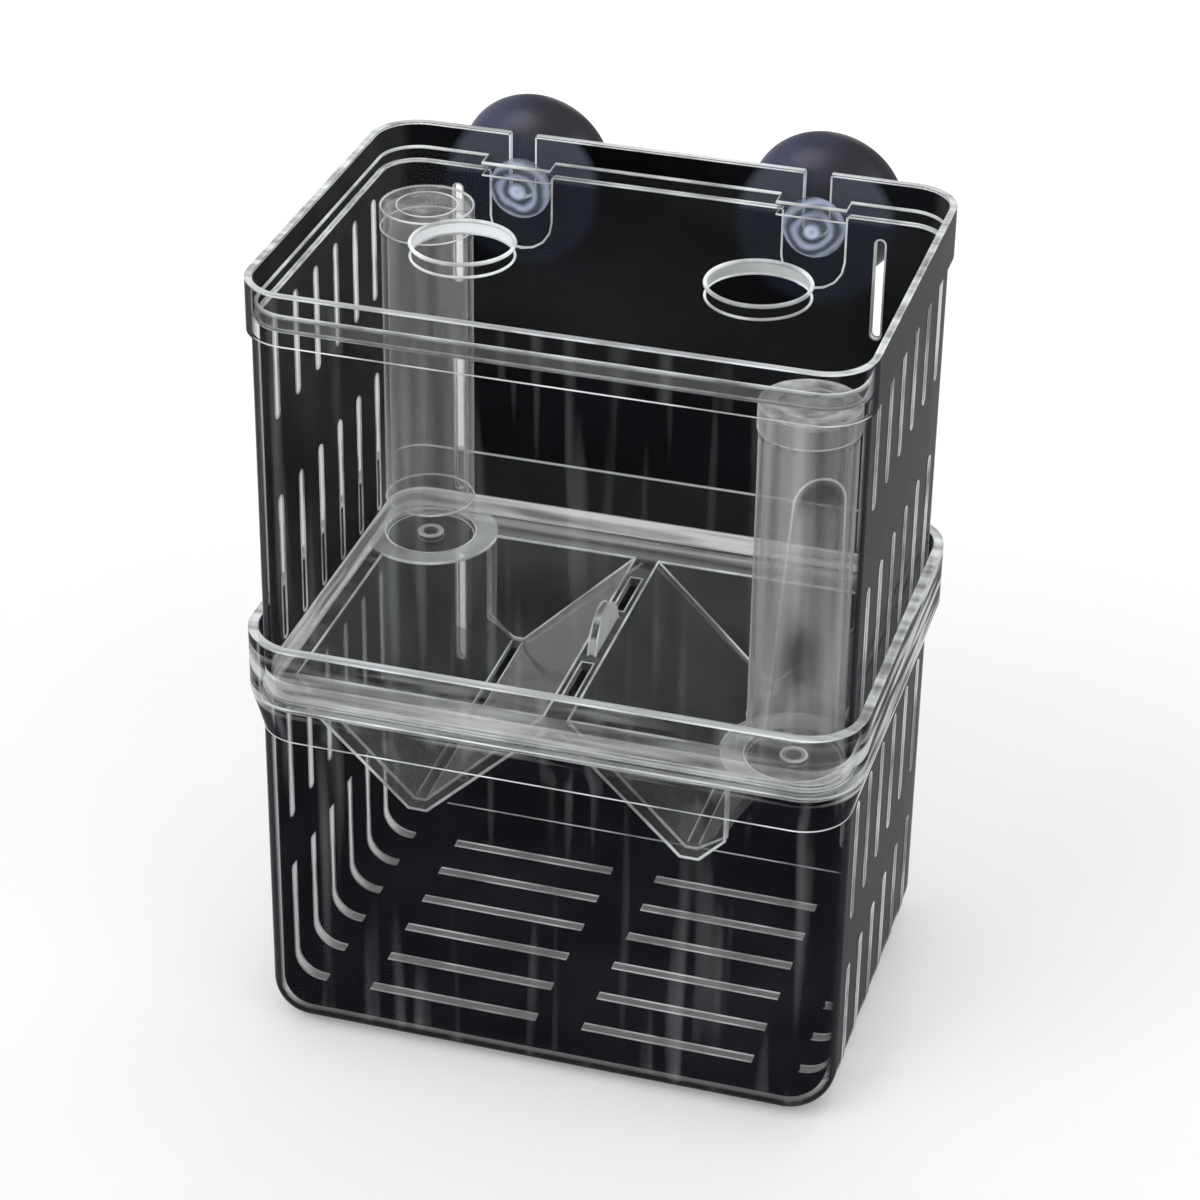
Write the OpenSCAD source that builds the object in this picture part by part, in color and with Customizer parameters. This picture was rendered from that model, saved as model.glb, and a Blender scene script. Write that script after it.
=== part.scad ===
// Two-storey fish breeding box: a slotted lower box, a V-trough tray resting inside its rim, a slotted upper
// sleeve standing on the tray, a clear lid, two hollow float tubes with caps and two suction cups at the back.
// Frame: millimetres, +Z up, front towards -Y, origin at the centre of the lower box's flat underside.

/* [Upper box] */
// Width over the upper rim
rim_w = 120; // [115:1:126]
// Depth over the upper rim
rim_d = 87; // [84:1:92]
// Height of the upper box
upper_h = 88; // [80:1:100]
// Outer corner radius of the upper rim
rim_r = 10; // [9.5:0.5:11]
// Height of the upper rim band
rim_h = 10.5; // [9.5:0.5:13]
// Thickness of the upper rim band
rim_t = 1.4; // [1.2:0.1:1.6]
// Step from the rim band in to the wall
rim_step = 1; // [0.8:0.1:1.4]
// Wall thickness of the upper box
wall_t = 1.5; // [1.4:0.1:1.9]

/* [Lower box] */
// Height of the lower box
lower_h = 92; // [86:1:100]
// Height of the lower rim band
band_h = 13; // [11:0.5:15]
// Thickness of the lower rim band
band_t = 2; // [1.6:0.1:2.4]
// Height of the sloped shoulder under the band
shoulder_h = 9; // [6:0.5:12]
// Wall thickness of the lower box
lower_t = 2; // [1.6:0.1:2.4]
// Step from the band's inner face in to the wall's inner face
ledge_w = 2.5; // [2:0.1:3]
// Outer radius between the walls and the floor
floor_r = 8; // [6:0.5:9]
// Floor thickness
floor_t = 2; // [1.6:0.1:2.6]

/* [Slots] */
// Rows of slots along each side
slot_n = 6; // [4:1:6]
// Distance between rows
slot_pitch = 11; // [9.5:0.5:11.5]
// Slot width
slot_w = 2.2; // [1.8:0.1:2.6]
// Length of the upper row on the upper box
top_slot = 22; // [16:1:24]
// Solid wall between the two rows of the upper box
top_gap = 17; // [12:1:20]
// Length of the upper row on the lower box
low_slot = 27; // [20:1:30]
// Solid wall between the two rows of the lower box
low_gap = 12; // [8:1:14]
// Solid edge left under the sleeve's lower slots
slot_edge = 5; // [4:0.5:8]
// Rim or shoulder to slot distance
slot_lead = 1.5; // [1:0.5:3]
// Length of each floor slot
floor_slot = 36; // [28:1:38]
// Solid strip between the two columns of floor slots
floor_gap = 10; // [8:1:14]
// Solid floor between a floor slot and a wrapped slot
wrap_gap = 9.7; // [8:0.1:11]
// Distance of the back wall's slots in from the corners' centres
back_slot_in = 6; // [4:0.5:7]

/* [Lid] */
// Lid thickness
lid_t = 3; // [2:0.1:3.5]
// Depth of the lid's top below the rim
lid_drop = 5; // [4:0.5:6]
// Clearance all round the lid
lid_gap = 0.3; // [0.2:0.05:0.5]
// Radius of the finger holes
hole_r = 10; // [8:0.5:11]
// Distance of the finger holes in from the ends of the rim
hole_in = 30.7; // [28:0.1:34]

/* [Tray] */
// Flange thickness
flange_t = 2; // [1.6:0.1:2.6]
// Clearance between the flange and the lower rim band
flange_gap = 0.5; // [0.3:0.1:0.8]
// Wall thickness of the troughs
trough_t = 1.6; // [1.2:0.1:2]
// Flat edge between the troughs and the sleeve's side walls
edge_x = 4; // [3.5:0.5:6]
// Flat edge between the troughs and the sleeve's front and back walls
edge_y = 8.5; // [7.5:0.5:11]
// Width of the flat crest between the troughs
crest_w = 5; // [4:0.5:7]
// Width of the gap along the bottom of each trough
fry_gap = 2.4; // [1.6:0.1:3]
// Radius of the tube pads
pad_r = 14.2; // [13.2:0.2:14.4]
// Thickness of the tube pads
pad_t = 3.2; // [2.8:0.1:4]
// Distance of a tube's axis in from each of the sleeve's two walls
tube_in = 10.4; // [10.2:0.1:11]
// Depth of the tube seats
seat_h = 1.2; // [0.8:0.1:1.6]
// Outer radius of the drain nipple in each seat
nipple_r = 2.7; // [2.4:0.1:3.4]
// Radius of the drain hole
drain_r = 1.6; // [1:0.1:1.8]
// Height of the drain nipple
nipple_h = 2.5; // [1.5:0.5:4]
// Length of the lift tab
tab_l = 16; // [12:1:20]
// Height of the lift tab above the crest
tab_h = 7; // [5:1:10]
// Thickness of the lift tab
tab_t = 1.8; // [1.4:0.1:2.4]
// Length of the slots in the crest
crest_slot = 14; // [10:1:15]
// Width of the slots in the crest
crest_slot_w = 2.6; // [2:0.1:3]

/* [Float tubes] */
// Outer radius of a tube
tube_r = 9.3; // [9.2:0.1:9.5]
// Outer radius of a tube under its cap
tube_top_r = 8.8; // [8.5:0.1:9]
// Wall thickness of a tube
tube_t = 1.2; // [1:0.1:1.6]
// Clearance between a tube and its seat
seat_gap = 0.2; // [0.15:0.05:0.3]
// Free height between a cap and the lid
cap_free = 4.5; // [3:0.5:6]
// Height of a cap's skirt
cap_h = 5; // [4:0.5:7]
// Thickness of a cap's skirt
cap_t = 0.8; // [0.7:0.1:1]
// Thickness of a cap's top
cap_top_t = 1.4; // [1.2:0.1:2]
// Clearance between a cap and its tube
cap_gap = 0.05; // [0.03:0.01:0.1]
// Depth of the dish in a cap's top
dish_h = 0.6; // [0.4:0.1:0.8]
// Radius of the dish in a cap's top
dish_r = 6.3; // [5:0.1:7]

/* [Suction cups] */
// Distance of each cup in from the ends of the rim
cup_in = 29.5; // [28:0.5:32]
// Depth of the cups' axes below the rim
cup_drop = 11; // [10:0.5:12]
// Radius of the cup's lip
cup_r = 16; // [14:0.5:17]
// Depth of the cup from its lip to its shoulder
cup_depth = 8; // [7:0.5:10]
// Wall thickness of the cup
cup_t = 1.4; // [1.2:0.1:1.8]
// Radius of the neck
neck_r = 2.4; // [2:0.1:2.6]
// Clearance between the neck and its keyhole slot
neck_gap = 0.3; // [0.2:0.05:0.5]
// Radius of the head
head_r = 6.4; // [5.5:0.1:6.5]
// Thickness of the head
head_t = 3.2; // [2.4:0.1:3.6]
// Radius of the nub on the head
nub_r = 2.2; // [1.6:0.1:3]
// Height of the nub on the head
nub_h = 0.6; // [0.3:0.1:1]
// Width of the pocket that holds the head
pocket_w = 14; // [13.8:0.1:15]
// Depth of the pocket below the cup's axis
pocket_h = 13.5; // [12:0.5:15]
// Clearance in front of and behind the wall
grip_gap = 0.2; // [0.1:0.05:0.3]

/* [Hidden] */
$fn = 64;
over = 0.02;
// shared corner centres of every rounded rectangle in the box
cx = rim_w / 2 - rim_r;
cy = rim_d / 2 - rim_r;
// corner radii of each layer, measured from the shared corner centres
rim_in = rim_r - rim_t;
body_out = rim_r - rim_step;
body_in = body_out - wall_t;
nest_gap = 1;
band_in = body_out + nest_gap;
band_out = band_in + band_t;
low_in = band_in - ledge_w;
low_out = low_in + lower_t;
flange_out = band_in - flange_gap;
lid_out = rim_in - lid_gap;
// heights
ledge_z = lower_h - band_h - flange_t;
flange_z = ledge_z + flange_t;
top_z = flange_z + upper_h;
lid_z = top_z - lid_drop - lid_t;
rim_z = top_z - rim_h;
seat_z = flange_z - seat_h;
cap_z = lid_z - cap_free;
cup_z = top_z - cup_drop;
back_slot_x = cx - back_slot_in;
hole_x = rim_w / 2 - hole_in;
cup_x = rim_w / 2 - cup_in;
tube_x = cx + body_in - tube_in;
tube_y = cy + body_in - tube_in;
trough_x = cx + body_in - edge_x;
trough_y = cy + body_in - edge_y;
// troughs: 45 degree slopes from the crest and the outer edges to a narrow flat
trough_c = (trough_x + crest_w / 2) / 2;
trough_half = trough_x - trough_c;
slit = fry_gap / 2;
vee = trough_half - slit;
slope_t = trough_t * sqrt(2);
crest_slot_y = tab_l / 2 + crest_slot_w + crest_slot / 2;
// wall planes at the back
back_rim = cy + rim_r;
back_out = cy + body_out;
back_in = cy + body_in;
pocket_y = back_in + rim_step;

// Solid swept round the rounded rectangle: the children are a profile from x = 0 at a corner's centre outwards
module around(z0, z1) {
  for (sx = [-1, 1]) {
    for (sy = [-1, 1]) {
      translate([sx * cx, sy * cy, 0]) rotate_extrude() children();
    }
  }
  translate([-cx, 0, 0]) rotate([90, 0, 90]) linear_extrude(2 * cx) section(cy, z0, z1) children();
  translate([0, cy, 0]) rotate([90, 0, 0]) linear_extrude(2 * cy) section(cx, z0, z1) children();
}

// Cross-section through two opposite walls
module section(c, z0, z1) {
  translate([c, 0]) children();
  mirror([1, 0]) translate([c, 0]) children();
  translate([-c, z0]) square([2 * c, z1 - z0]);
}

// Plain upright layer of corner radius r between two heights
module layer(r, z0, z1) {
  translate([0, 0, z0]) linear_extrude(z1 - z0) plan(r);
}

// Rounded rectangle about the shared corner centres
module plan(r) {
  for (sx = [-1, 1]) {
    for (sy = [-1, 1]) {
      translate([sx * cx, sy * cy]) circle(r);
    }
  }
  square([2 * cx, 2 * (cy + r)], center = true);
  square([2 * (cx + r), 2 * cy], center = true);
}

// Profile of a box floor with a rounded edge, up to a given height
module tub_profile(r, edge, z0, z1) {
  translate([0, z0 + edge]) square([r, z1 - z0 - edge]);
  translate([0, z0]) square([r - edge, edge + over]);
  intersection() {
    translate([r - edge, z0 + edge]) circle(edge);
    translate([0, z0]) square([r, edge + over]);
  }
}

// Rows along Y at which the side and floor slots lie
module rows() {
  for (k = [0 : slot_n - 1]) {
    translate([0, (k - (slot_n - 1) / 2) * slot_pitch, 0]) children();
  }
}

// Upright slot with half-round ends through a side wall
module side_slot(x0, x1, z0, z1) {
  h = slot_w / 2;
  for (s = [-1, 1]) {
    translate([s > 0 ? x0 : -x1, -h, z0 + h]) cube([x1 - x0, slot_w, z1 - z0 - slot_w]);
    for (z = [z0 + h, z1 - h]) {
      translate([s > 0 ? x0 : -x1, 0, z]) rotate([0, 90, 0]) cylinder(h = x1 - x0, r = h, $fn = 24);
    }
  }
}

// Upright slot through the back wall
module back_slot(y0, y1, z0, z1) {
  h = slot_w / 2;
  for (s = [-1, 1]) {
    translate([s * back_slot_x - h, y0, z0 + h]) cube([slot_w, y1 - y0, z1 - z0 - slot_w]);
    for (z = [z0 + h, z1 - h]) {
      translate([s * back_slot_x, y1, z]) rotate([90, 0, 0]) cylinder(h = y1 - y0, r = h, $fn = 24);
    }
  }
}

// Two-part lower box with a stepped rim, wrapped side slots and a slotted floor
module lower_box() {
  sh_z = flange_z - shoulder_h;
  hi = sh_z - slot_lead;
  mid = hi - low_slot;
  lo = mid - low_gap;
  x_in = cx + low_in;
  x_out = cx + low_out;
  slot_end = floor_gap / 2 + floor_slot;
  wrap_x = slot_end + wrap_gap;
  color([0.55, 0.6, 0.64, 0.55])
  difference() {
    around(0, lower_h) {
      tub_profile(low_out, floor_r, 0, sh_z + over);
      polygon([[0, sh_z], [low_out, sh_z], [band_out, flange_z], [band_out, lower_h], [0, lower_h]]);
    }
    around(floor_t, ledge_z + over) tub_profile(low_in, floor_r - lower_t, floor_t, ledge_z + over);
    layer(band_in, ledge_z, lower_h + 1);
    rows() side_slot(x_in - 1, x_out + 1, mid, hi);
    rows() {
      for (s = [0, 1]) {
        mirror([s, 0, 0]) translate([wrap_x, -slot_w / 2, -1]) cube([x_out + 1 - wrap_x, slot_w, lo + 1]);
        mirror([s, 0, 0]) translate([floor_gap / 2, -slot_w / 2, -1]) cube([floor_slot, slot_w, floor_t + 2]);
      }
    }
    back_slot(cy + low_in - 1, cy + low_out + 1, mid, hi);
    back_slot(cy + low_in - 1, cy + low_out + 1, floor_r + slot_lead, lo);
  }
}

// Upper sleeve, open below, with a lid ledge, slotted sides and two pockets for the suction cups
module upper_box() {
  hi = rim_z - slot_lead;
  mid = hi - top_slot;
  lo = mid - top_gap;
  x_in = cx + body_in;
  x_out = cx + body_out;
  color([0.6, 0.65, 0.69, 0.5])
  difference() {
    union() {
      layer(body_out, flange_z, rim_z + over);
      layer(rim_r, rim_z, top_z);
      for (s = [-1, 1]) {
        pocket_shape(s, pocket_w / 2, back_in + over, back_rim);
      }
    }
    layer(body_in, flange_z - 1, lid_z + over);
    layer(rim_in, lid_z, top_z + 1);
    rows() side_slot(x_in - 1, x_out + 1, mid, hi);
    rows() side_slot(x_in - 1, x_out + 1, flange_z + slot_edge, lo);
    back_slot(back_in - 1, back_out + 1, mid, hi);
    back_slot(back_in - 1, back_out + 1, flange_z + slot_edge, lo);
    for (s = [-1, 1]) {
      pocket_shape(s, pocket_w / 2 - rim_step / 2, back_in - 1, pocket_y);
      keyhole(s);
    }
  }
}

// Upright U of half width w between two Y planes
module pocket_shape(s, w, y0, y1) {
  foot = cup_z - pocket_h + w;
  translate([s * cup_x - w, y0, foot]) cube([2 * w, y1 - y0, lid_z - foot]);
  translate([s * cup_x, y1, foot]) rotate([90, 0, 0]) cylinder(h = y1 - y0, r = w);
}

// Open-topped slot for a neck
module keyhole(s) {
  r = neck_r + neck_gap;
  translate([s * cup_x - r, back_in - 1, cup_z]) cube([2 * r, back_rim - back_in + 2, top_z - cup_z + 1]);
  translate([s * cup_x, back_rim + 1, cup_z]) rotate([90, 0, 0]) cylinder(h = back_rim - back_in + 2, r = r);
}

// Lid plate with two finger holes and reliefs round the suction cup heads
module lid() {
  relief_y = pocket_y - head_t - nub_h - 2 * grip_gap - lid_gap;
  color([0.8, 0.84, 0.87, 0.35])
  difference() {
    layer(lid_out, lid_z, lid_z + lid_t);
    for (s = [-1, 1]) {
      translate([s * hole_x, 0, lid_z - 1]) cylinder(h = lid_t + 2, r = hole_r);
      translate([s * cup_x - pocket_w / 2, relief_y, lid_z - 1]) cube([pocket_w, rim_d / 2, lid_t + 2]);
    }
  }
}

// Cross-section of the pair of troughs, grown outwards by g on the slopes
module troughs_2d(g, top) {
  for (s = [-1, 1]) {
    translate([s * trough_c, 0])
    polygon([[-trough_half - g, flange_z + top], [trough_half + g, flange_z + top],
             [trough_half + g, flange_z], [slit + g, flange_z - vee],
             [-slit - g, flange_z - vee], [-trough_half - g, flange_z]]);
  }
}

// Outer skin of the troughs
module troughs_out() {
  d = flange_z - vee - trough_t;
  y = trough_y + trough_t;
  k = slope_t;
  translate([0, y, 0]) rotate([90, 0, 0]) linear_extrude(2 * y)
  for (s = [-1, 1]) {
    translate([s * trough_c, 0])
    polygon([[-trough_half - k, flange_z - over], [trough_half + k, flange_z - over],
             [slit + k - trough_t, d], [-slit - k + trough_t, d]]);
  }
}

// Hollow of the troughs, short of the two tube pads
module troughs_in() {
  difference() {
    translate([0, trough_y, 0]) rotate([90, 0, 0]) linear_extrude(2 * trough_y) troughs_2d(0, 1);
    at_tubes() translate([0, 0, flange_z - vee - pad_r]) cylinder(h = vee + 2 * pad_r, r = pad_r);
  }
}

// The two diagonal tube positions
module at_tubes() {
  translate([-tube_x, tube_y, 0]) children();
  translate([tube_x, -tube_y, 0]) children();
}

// Tray with two V troughs, a flange, round pads for the float tubes and a lift tab
module v_tray() {
  color([0.72, 0.77, 0.8, 0.5])
  difference() {
    union() {
      layer(flange_out, ledge_z, flange_z);
      difference() {
        troughs_out();
        at_tubes() translate([0, 0, flange_z - vee - pad_r])
        cylinder(h = vee + pad_r - pad_t, r = pad_r - trough_t);
      }
      intersection() {
        at_tubes() translate([0, 0, flange_z - pad_t]) cylinder(h = pad_t, r = pad_r);
        layer(low_in - flange_gap, flange_z - pad_t, flange_z);
      }
      lift_tab();
    }
    troughs_in();
    at_tubes() {
      difference() {
        translate([0, 0, seat_z]) cylinder(h = seat_h + 1, r = tube_r + seat_gap);
        translate([0, 0, seat_z - 1]) cylinder(h = seat_h + 3, r = nipple_r);
      }
      translate([0, 0, seat_z - pad_t]) cylinder(h = pad_t + nipple_h + 1, r = drain_r);
      translate([0, 0, seat_z + nipple_h]) cylinder(h = seat_h + 2, r = nipple_r + 1);
    }
    for (s = [-1, 1]) {
      translate([s * trough_c - slit, -trough_y + trough_t, flange_z - vee - 2 * trough_t])
      cube([fry_gap, 2 * (trough_y - trough_t), 3 * trough_t]);
      translate([-crest_slot_w / 2, s * crest_slot_y - crest_slot / 2, ledge_z - 2 * trough_t])
      cube([crest_slot_w, crest_slot, 2 * pad_t + flange_t]);
    }
  }
}

// Leaf-shaped tab standing on the crest
module lift_tab() {
  r = (tab_l * tab_l / 4 + tab_h * tab_h) / (2 * tab_h);
  translate([-tab_t / 2, 0, flange_z])
  rotate([90, 0, 90])
  linear_extrude(tab_t)
  intersection() {
    translate([0, tab_h - r]) circle(r);
    translate([-tab_l / 2, -flange_t / 2]) square([tab_l, tab_h + flange_t]);
  }
}

// Hollow float tube, open at the foot, with a narrower spigot for the cap
module float_tube() {
  foot = seat_z;
  neck = cap_z - cap_h - cap_t;
  step = tube_r - tube_top_r;
  top = cap_z - cap_top_t - cap_gap;
  color([0.78, 0.8, 0.8, 0.6])
  rotate_extrude()
  polygon([[tube_r - tube_t, foot], [tube_r, foot], [tube_r, neck - step], [tube_top_r, neck], [tube_top_r, top],
           [tube_top_r - tube_t, top], [tube_top_r - tube_t, neck - step], [tube_r - tube_t, neck - 2 * step]]);
}

// Cap pushed over the head of a float tube
module float_cap() {
  r = tube_top_r + cap_gap;
  color([0.85, 0.87, 0.87, 0.6])
  rotate_extrude()
  polygon([[0, cap_z - cap_top_t], [r, cap_z - cap_top_t], [r, cap_z - cap_h], [r + cap_t, cap_z - cap_h],
           [r + cap_t, cap_z], [dish_r, cap_z], [dish_r - dish_h, cap_z - dish_h], [0, cap_z - dish_h]]);
}

module float_tube_rear() {
  translate([-tube_x, tube_y, 0]) float_tube();
}

module float_tube_front() {
  translate([tube_x, -tube_y, 0]) float_tube();
}

module float_cap_rear() {
  translate([-tube_x, tube_y, 0]) float_cap();
}

module float_cap_front() {
  translate([tube_x, -tube_y, 0]) float_cap();
}

// Suction cup turned about the neck's axis: head inside the wall, neck in the slot, domed cup behind the wall
module suction_cup() {
  head_y = pocket_y - grip_gap;
  rear = back_rim + grip_gap;
  crown = neck_r + cup_t;
  lip_y = rear + cup_depth;
  // the dome is a sphere through the crown's edge and the lip's edge
  back_off = (cup_r * cup_r - crown * crown - cup_depth * cup_depth) / (2 * cup_depth);
  dome_r = sqrt(cup_r * cup_r + back_off * back_off);
  color([0.1, 0.11, 0.2, 0.95])
  translate([0, 0, cup_z])
  rotate([-90, 0, 0])
  rotate_extrude()
  union() {
    translate([0, head_y - head_t - nub_h]) square([nub_r, nub_h + over]);
    polygon([[0, head_y - head_t], [head_r - cup_t, head_y - head_t], [head_r, head_y - head_t + cup_t],
             [head_r, head_y - cup_t / 2], [head_r - cup_t / 2, head_y], [0, head_y]]);
    translate([0, head_y - over]) square([neck_r, rear - head_y + 2 * over]);
    intersection() {
      difference() {
        translate([0, lip_y + back_off]) circle(dome_r, $fn = 128);
        translate([0, lip_y + back_off]) circle(dome_r - cup_t, $fn = 128);
      }
      translate([0, rear]) square([cup_r, cup_depth]);
    }
    translate([0, rear]) square([crown, 2 * cup_t]);
  }
}

module suction_cup_left() {
  translate([-cup_x, 0, 0]) suction_cup();
}

module suction_cup_right() {
  translate([cup_x, 0, 0]) suction_cup();
}

lower_box();
v_tray();
upper_box();
lid();
float_tube_rear();
float_tube_front();
float_cap_rear();
float_cap_front();
suction_cup_left();
suction_cup_right();
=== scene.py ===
"""Looks of a clear two-storey fish breeding box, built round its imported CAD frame.

Every length is in metres in the CAD frame: +Z up, front towards -Y, origin under the middle of the lower box.
"""
import math

import bpy
import numpy as np
from mathutils import Matrix, Vector


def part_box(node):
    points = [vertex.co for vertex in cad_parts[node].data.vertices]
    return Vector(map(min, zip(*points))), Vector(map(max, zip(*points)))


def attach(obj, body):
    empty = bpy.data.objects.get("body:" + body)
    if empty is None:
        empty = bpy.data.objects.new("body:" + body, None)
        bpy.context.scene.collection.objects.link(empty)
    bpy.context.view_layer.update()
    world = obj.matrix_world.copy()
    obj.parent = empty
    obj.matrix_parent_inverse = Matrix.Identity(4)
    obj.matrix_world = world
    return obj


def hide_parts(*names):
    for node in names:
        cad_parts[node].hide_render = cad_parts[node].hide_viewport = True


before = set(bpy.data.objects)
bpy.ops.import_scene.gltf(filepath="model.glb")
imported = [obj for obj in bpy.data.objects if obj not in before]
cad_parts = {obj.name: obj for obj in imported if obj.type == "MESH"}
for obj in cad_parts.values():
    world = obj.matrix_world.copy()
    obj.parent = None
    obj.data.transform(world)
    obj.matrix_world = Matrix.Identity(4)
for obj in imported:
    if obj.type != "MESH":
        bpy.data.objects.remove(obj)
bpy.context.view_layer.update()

bl_info = {
    "name": "Fish Breeding Box",
    "version": (1, 0, 0),
    "blender": (4, 5, 0),
    "location": "View3D > Sidebar > Breeding Box",
    "description": "Clear plastic, rubber and edge light for a two-storey fish breeding box",
    "category": "Object",
}


def span(node):
    """Lowest and highest corner of a CAD node as numpy arrays."""
    low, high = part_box(node)
    return np.array(low), np.array(high)


SLEEVE_LOW, SLEEVE_HIGH = span("upper_box")
LOWER_LOW, LOWER_HIGH = span("lower_box")
RIM_R = 0.010
CORNER = (float(SLEEVE_HIGH[0]) - RIM_R, -float(SLEEVE_LOW[1]) - RIM_R, 0.0)


# ---------------------------------------------------------------- settings

class BreedingBoxShellSettings(bpy.types.PropertyGroup):
    """Colours and clearness of the boxes, the lid and the tray."""
    # painted dark: the inward faces are painted near black, standing in for the unlit dark seen through the clear walls
    painted_dark: bpy.props.FloatVectorProperty(
        name="Depth tint", description="Colour of the walls seen from inside the box",
        subtype="COLOR", size=3, min=0, max=1, default=(0.0034, 0.0036, 0.0044))
    depth: bpy.props.FloatProperty(
        name="Depth", description="How strongly the far walls hide what is behind them",
        subtype="FACTOR", min=0, max=1, default=1.0)
    veil: bpy.props.FloatVectorProperty(
        name="Veil", description="Colour of the clear faces turned outwards",
        subtype="COLOR", size=3, min=0, max=1, default=(0.62, 0.65, 0.67))
    clear: bpy.props.FloatProperty(
        name="Haze", description="How much of the veil shows on a clear face seen square on",
        subtype="FACTOR", min=0, max=1, default=0.02)
    # painted light: the colour of the highlights painted on cut faces and on the edge beads
    edge: bpy.props.FloatVectorProperty(
        name="Edge light", description="Colour of cut edges, which gather the light in clear plastic",
        subtype="COLOR", size=3, min=0, max=1, default=(0.66, 0.68, 0.69))
    tray: bpy.props.FloatVectorProperty(
        name="Tray", description="Colour of the sloped troughs",
        subtype="COLOR", size=3, min=0, max=1, default=(0.115, 0.125, 0.125))


class BreedingBoxFloatSettings(bpy.types.PropertyGroup):
    """Frosted float tubes and their caps."""
    frost_and_glow: bpy.props.FloatVectorProperty(
        name="Frost", description="Colour of the frosted tubes",
        subtype="COLOR", size=3, min=0, max=1, default=(0.38, 0.39, 0.38))


class BreedingBoxCupSettings(bpy.types.PropertyGroup):
    """Suction cups behind the rear wall."""
    rubber: bpy.props.FloatVectorProperty(
        name="Rubber", description="Colour of the soft domes",
        subtype="COLOR", size=3, min=0, max=1, default=(0.0085, 0.009, 0.019))
    head: bpy.props.FloatVectorProperty(
        name="Head", description="Colour of the heads inside the wall",
        subtype="COLOR", size=3, min=0, max=1, default=(0.26, 0.30, 0.40))


class BreedingBoxStageSettings(bpy.types.PropertyGroup):
    """Floor, light and camera."""
    floor: bpy.props.FloatVectorProperty(
        name="Floor", description="Colour of the floor", subtype="COLOR", size=3, min=0, max=1,
        default=(0.92, 0.92, 0.92))
    focal: bpy.props.FloatProperty(
        name="Focal length", description="Focal length of the camera in millimetres", min=20, max=300,
        default=104.74)


# ---------------------------------------------------------------- node helpers

class Nodes:
    """Thin wrapper that adds nodes and links to one node tree."""

    def __init__(self, tree):
        self.tree = tree

    def add(self, kind, inputs=None, **settings):
        node = self.tree.nodes.new(kind)
        for key, value in settings.items():
            setattr(node, key, value)
        for key, value in (inputs or {}).items():
            self.put(node.inputs[key], value)
        return node

    def put(self, socket, value):
        if isinstance(value, bpy.types.NodeSocket):
            self.tree.links.new(value, socket)
        else:
            socket.default_value = value

    def math(self, operation, a, b=0.0, c=None, clamp=False):
        node = self.add("ShaderNodeMath", {0: a, 1: b}, operation=operation, use_clamp=clamp)
        if c is not None:
            self.put(node.inputs[2], c)
        return node.outputs[0]

    def vec(self, operation, a, b=(0, 0, 0)):
        node = self.add("ShaderNodeVectorMath", {0: a, 1: b}, operation=operation)
        return node.outputs["Value" if operation in ("DOT_PRODUCT", "LENGTH") else "Vector"]

    def ramp(self, value, low, high, to_low=0.0, to_high=1.0):
        """Straight map of value from low..high to to_low..to_high, held at both ends."""
        return self.add("ShaderNodeMapRange", {
            "Value": value, "From Min": low, "From Max": high, "To Min": to_low, "To Max": to_high}).outputs["Result"]

    def mix(self, factor, a, b):
        node = self.add("ShaderNodeMix", data_type="RGBA")
        self.put(node.inputs[0], factor)
        self.put(node.inputs[6], a)
        self.put(node.inputs[7], b)
        return node.outputs[2]

    def blend(self, factor, a, b):
        node = self.add("ShaderNodeMix", data_type="FLOAT")
        self.put(node.inputs[0], factor)
        self.put(node.inputs[2], a)
        self.put(node.inputs[3], b)
        return node.outputs[0]


def rgba(colour, scale=1.0):
    """Four numbers for a colour socket."""
    return tuple(min(1.0, c * scale) for c in colour[:3]) + (1.0,)


def new_group(name, inputs, outputs):
    """Empty shader node group with named sockets; returns (tree, wrapper, input node, output node)."""
    tree = bpy.data.node_groups.new(name, "ShaderNodeTree")
    for label, kind, value in inputs:
        socket = tree.interface.new_socket(name=label, in_out="INPUT", socket_type=kind)
        if value is not None:
            socket.default_value = value
    for label, kind in outputs:
        tree.interface.new_socket(name=label, in_out="OUTPUT", socket_type=kind)
    n = Nodes(tree)
    return tree, n, n.add("NodeGroupInput"), n.add("NodeGroupOutput")


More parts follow.
